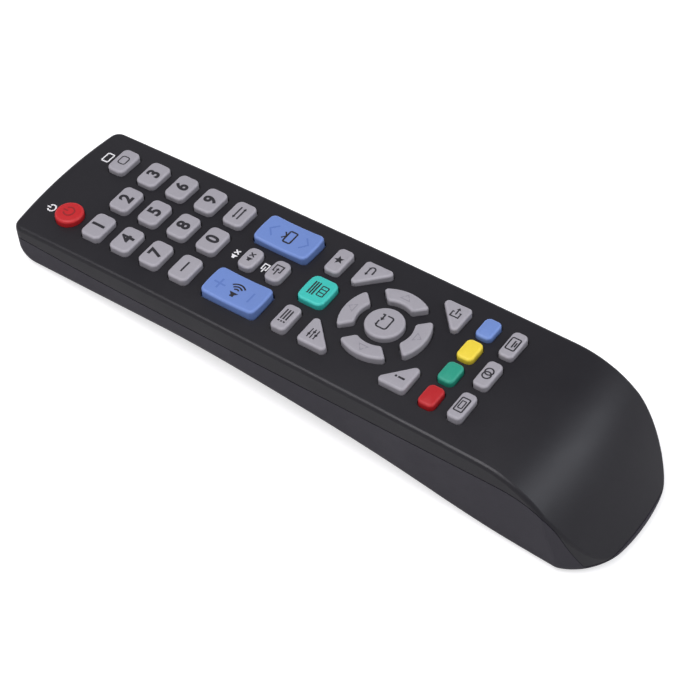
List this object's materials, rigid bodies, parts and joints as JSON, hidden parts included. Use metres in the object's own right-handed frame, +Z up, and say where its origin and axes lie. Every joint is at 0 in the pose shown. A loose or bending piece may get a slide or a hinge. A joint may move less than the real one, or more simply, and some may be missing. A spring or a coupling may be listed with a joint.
{
  "type": "universal remote control",
  "caption": "Slim dark universal remote control with grey number, navigation and colour keys, a rounded battery hump behind and a sliding battery door.",
  "frame": {"origin": "centre of the handset's footprint, on the table it lies on", "axes": "+Y along the handset towards the end that points at the television, +X to its right, +Z up; it lies on the front of its belly and on the flat foot of its battery hump, so its face leans back by 5.8 degrees"},
  "size_m": [0.048, 0.1896, 0.0287],
  "materials": {
    "case_top": "satin",
    "case_bottom": "matte",
    "key_grey": "satin",
    "key_power_red": "satin",
    "key_red": "satin",
    "key_green": "satin",
    "key_yellow": "satin",
    "key_blue": "satin",
    "key_rocker": "satin",
    "key_menu": "satin",
    "rubber_mat": "matte",
    "board": "satin",
    "led": "gloss",
    "cell": "satin",
    "contact": "bright",
    "chip": "matte",
    "can": "satin",
    "capacitor": "satin"
  },
  "bodies": {
    "handset": {"top_case": "case_top", "bottom_case": "case_bottom", "keypad_mat": "rubber_mat", "circuit_board": "board", "infrared_led": "led", "battery_left": "cell", "battery_right": "cell", "contact_positive": "contact", "contact_negative": "contact", "contact_bridge": "contact", "controller_chip": "chip", "resonator": "can", "storage_capacitor": "capacitor", "driver_transistor": "chip", "resistors": "chip"},
    "key_1": {"key_1": "key_grey"},
    "key_2": {"key_2": "key_grey"},
    "key_3": {"key_3": "key_grey"},
    "key_4": {"key_4": "key_grey"},
    "key_5": {"key_5": "key_grey"},
    "key_6": {"key_6": "key_grey"},
    "key_7": {"key_7": "key_grey"},
    "key_8": {"key_8": "key_grey"},
    "key_9": {"key_9": "key_grey"},
    "key_dash": {"key_dash": "key_grey"},
    "key_0": {"key_0": "key_grey"},
    "key_previous": {"key_previous": "key_grey"},
    "key_power": {"key_power": "key_power_red"},
    "key_television": {"key_television": "key_grey"},
    "key_mute": {"key_mute": "key_grey"},
    "key_source": {"key_source": "key_grey"},
    "key_channel_list": {"key_channel_list": "key_grey"},
    "key_favourite": {"key_favourite": "key_grey"},
    "key_menu": {"key_menu": "key_menu"},
    "key_tools": {"key_tools": "key_grey"},
    "key_return": {"key_return": "key_grey"},
    "key_info": {"key_info": "key_grey"},
    "key_exit": {"key_exit": "key_grey"},
    "key_enter": {"key_enter": "key_grey"},
    "key_up": {"key_up": "key_grey"},
    "key_left": {"key_left": "key_grey"},
    "key_down": {"key_down": "key_grey"},
    "key_right": {"key_right": "key_grey"},
    "key_red": {"key_red": "key_red"},
    "key_green": {"key_green": "key_green"},
    "key_yellow": {"key_yellow": "key_yellow"},
    "key_blue": {"key_blue": "key_blue"},
    "key_picture_size": {"key_picture_size": "key_grey"},
    "key_sound": {"key_sound": "key_grey"},
    "key_captions": {"key_captions": "key_grey"},
    "key_volume": {"key_volume": "key_rocker"},
    "key_channel": {"key_channel": "key_rocker"},
    "battery_door": {"battery_door": "case_bottom"}
  },
  "joints": [
    {"name": "press_1", "type": "slide", "parent": "handset", "child": "key_1", "axis": [0, -0.1015, -0.9948], "range_m": [0, 0.0008], "stiffness_N_per_m": 1200},
    {"name": "press_2", "type": "slide", "parent": "handset", "child": "key_2", "axis": [0, -0.1015, -0.9948], "range_m": [0, 0.0008], "stiffness_N_per_m": 1200},
    {"name": "press_3", "type": "slide", "parent": "handset", "child": "key_3", "axis": [0, -0.1015, -0.9948], "range_m": [0, 0.0008], "stiffness_N_per_m": 1200},
    {"name": "press_4", "type": "slide", "parent": "handset", "child": "key_4", "axis": [0, -0.1015, -0.9948], "range_m": [0, 0.0008], "stiffness_N_per_m": 1200},
    {"name": "press_5", "type": "slide", "parent": "handset", "child": "key_5", "axis": [0, -0.1015, -0.9948], "range_m": [0, 0.0008], "stiffness_N_per_m": 1200},
    {"name": "press_6", "type": "slide", "parent": "handset", "child": "key_6", "axis": [0, -0.1015, -0.9948], "range_m": [0, 0.0008], "stiffness_N_per_m": 1200},
    {"name": "press_7", "type": "slide", "parent": "handset", "child": "key_7", "axis": [0, -0.1015, -0.9948], "range_m": [0, 0.0008], "stiffness_N_per_m": 1200},
    {"name": "press_8", "type": "slide", "parent": "handset", "child": "key_8", "axis": [0, -0.1015, -0.9948], "range_m": [0, 0.0008], "stiffness_N_per_m": 1200},
    {"name": "press_9", "type": "slide", "parent": "handset", "child": "key_9", "axis": [0, -0.1015, -0.9948], "range_m": [0, 0.0008], "stiffness_N_per_m": 1200},
    {"name": "press_dash", "type": "slide", "parent": "handset", "child": "key_dash", "axis": [0, -0.1015, -0.9948], "range_m": [0, 0.0008], "stiffness_N_per_m": 1200},
    {"name": "press_0", "type": "slide", "parent": "handset", "child": "key_0", "axis": [0, -0.1015, -0.9948], "range_m": [0, 0.0008], "stiffness_N_per_m": 1200},
    {"name": "press_previous", "type": "slide", "parent": "handset", "child": "key_previous", "axis": [0, -0.1015, -0.9948], "range_m": [0, 0.0008], "stiffness_N_per_m": 1200},
    {"name": "press_power", "type": "slide", "parent": "handset", "child": "key_power", "axis": [0, -0.1015, -0.9948], "range_m": [0, 0.0008], "stiffness_N_per_m": 1200},
    {"name": "press_television", "type": "slide", "parent": "handset", "child": "key_television", "axis": [0, -0.1015, -0.9948], "range_m": [0, 0.0008], "stiffness_N_per_m": 1200},
    {"name": "press_mute", "type": "slide", "parent": "handset", "child": "key_mute", "axis": [0, -0.1015, -0.9948], "range_m": [0, 0.0008], "stiffness_N_per_m": 1200},
    {"name": "press_source", "type": "slide", "parent": "handset", "child": "key_source", "axis": [0, -0.1015, -0.9948], "range_m": [0, 0.0008], "stiffness_N_per_m": 1200},
    {"name": "press_channel_list", "type": "slide", "parent": "handset", "child": "key_channel_list", "axis": [0, -0.1015, -0.9948], "range_m": [0, 0.0008], "stiffness_N_per_m": 1200},
    {"name": "press_favourite", "type": "slide", "parent": "handset", "child": "key_favourite", "axis": [0, -0.1015, -0.9948], "range_m": [0, 0.0008], "stiffness_N_per_m": 1200},
    {"name": "press_menu", "type": "slide", "parent": "handset", "child": "key_menu", "axis": [0, -0.1015, -0.9948], "range_m": [0, 0.0008], "stiffness_N_per_m": 1200},
    {"name": "press_tools", "type": "slide", "parent": "handset", "child": "key_tools", "axis": [0, -0.1015, -0.9948], "range_m": [0, 0.0008], "stiffness_N_per_m": 1200},
    {"name": "press_return", "type": "slide", "parent": "handset", "child": "key_return", "axis": [0, -0.1015, -0.9948], "range_m": [0, 0.0008], "stiffness_N_per_m": 1200},
    {"name": "press_info", "type": "slide", "parent": "handset", "child": "key_info", "axis": [0, -0.1015, -0.9948], "range_m": [0, 0.0008], "stiffness_N_per_m": 1200},
    {"name": "press_exit", "type": "slide", "parent": "handset", "child": "key_exit", "axis": [0, -0.1015, -0.9948], "range_m": [0, 0.0008], "stiffness_N_per_m": 1200},
    {"name": "press_enter", "type": "slide", "parent": "handset", "child": "key_enter", "axis": [0, -0.1015, -0.9948], "range_m": [0, 0.0008], "stiffness_N_per_m": 1200},
    {"name": "press_up", "type": "slide", "parent": "handset", "child": "key_up", "axis": [0, -0.1015, -0.9948], "range_m": [0, 0.0008], "stiffness_N_per_m": 1200},
    {"name": "press_left", "type": "slide", "parent": "handset", "child": "key_left", "axis": [0, -0.1015, -0.9948], "range_m": [0, 0.0008], "stiffness_N_per_m": 1200},
    {"name": "press_down", "type": "slide", "parent": "handset", "child": "key_down", "axis": [0, -0.1015, -0.9948], "range_m": [0, 0.0008], "stiffness_N_per_m": 1200},
    {"name": "press_right", "type": "slide", "parent": "handset", "child": "key_right", "axis": [0, -0.1015, -0.9948], "range_m": [0, 0.0008], "stiffness_N_per_m": 1200},
    {"name": "press_red", "type": "slide", "parent": "handset", "child": "key_red", "axis": [0, -0.1015, -0.9948], "range_m": [0, 0.0008], "stiffness_N_per_m": 1200},
    {"name": "press_green", "type": "slide", "parent": "handset", "child": "key_green", "axis": [0, -0.1015, -0.9948], "range_m": [0, 0.0008], "stiffness_N_per_m": 1200},
    {"name": "press_yellow", "type": "slide", "parent": "handset", "child": "key_yellow", "axis": [0, -0.1015, -0.9948], "range_m": [0, 0.0008], "stiffness_N_per_m": 1200},
    {"name": "press_blue", "type": "slide", "parent": "handset", "child": "key_blue", "axis": [0, -0.1015, -0.9948], "range_m": [0, 0.0008], "stiffness_N_per_m": 1200},
    {"name": "press_picture_size", "type": "slide", "parent": "handset", "child": "key_picture_size", "axis": [0, -0.1015, -0.9948], "range_m": [0, 0.0008], "stiffness_N_per_m": 1200},
    {"name": "press_sound", "type": "slide", "parent": "handset", "child": "key_sound", "axis": [0, -0.1015, -0.9948], "range_m": [0, 0.0008], "stiffness_N_per_m": 1200},
    {"name": "press_captions", "type": "slide", "parent": "handset", "child": "key_captions", "axis": [0, -0.1015, -0.9948], "range_m": [0, 0.0008], "stiffness_N_per_m": 1200},
    {"name": "rock_volume", "type": "hinge", "parent": "handset", "child": "key_volume", "pos_m": [-0.0116, 0.02419, 0.01895], "axis": [1, 0, 0], "range_deg": [-3, 3], "stiffness_Nm_per_rad": 0.12},
    {"name": "rock_channel", "type": "hinge", "parent": "handset", "child": "key_channel", "pos_m": [0.0116, 0.02419, 0.01895], "axis": [1, 0, 0], "range_deg": [-3, 3], "stiffness_Nm_per_rad": 0.12},
    {"name": "slide_door", "type": "slide", "parent": "handset", "child": "battery_door", "axis": [0, -0.9985, -0.0554], "range_m": [0, 0.06]}
  ]
}
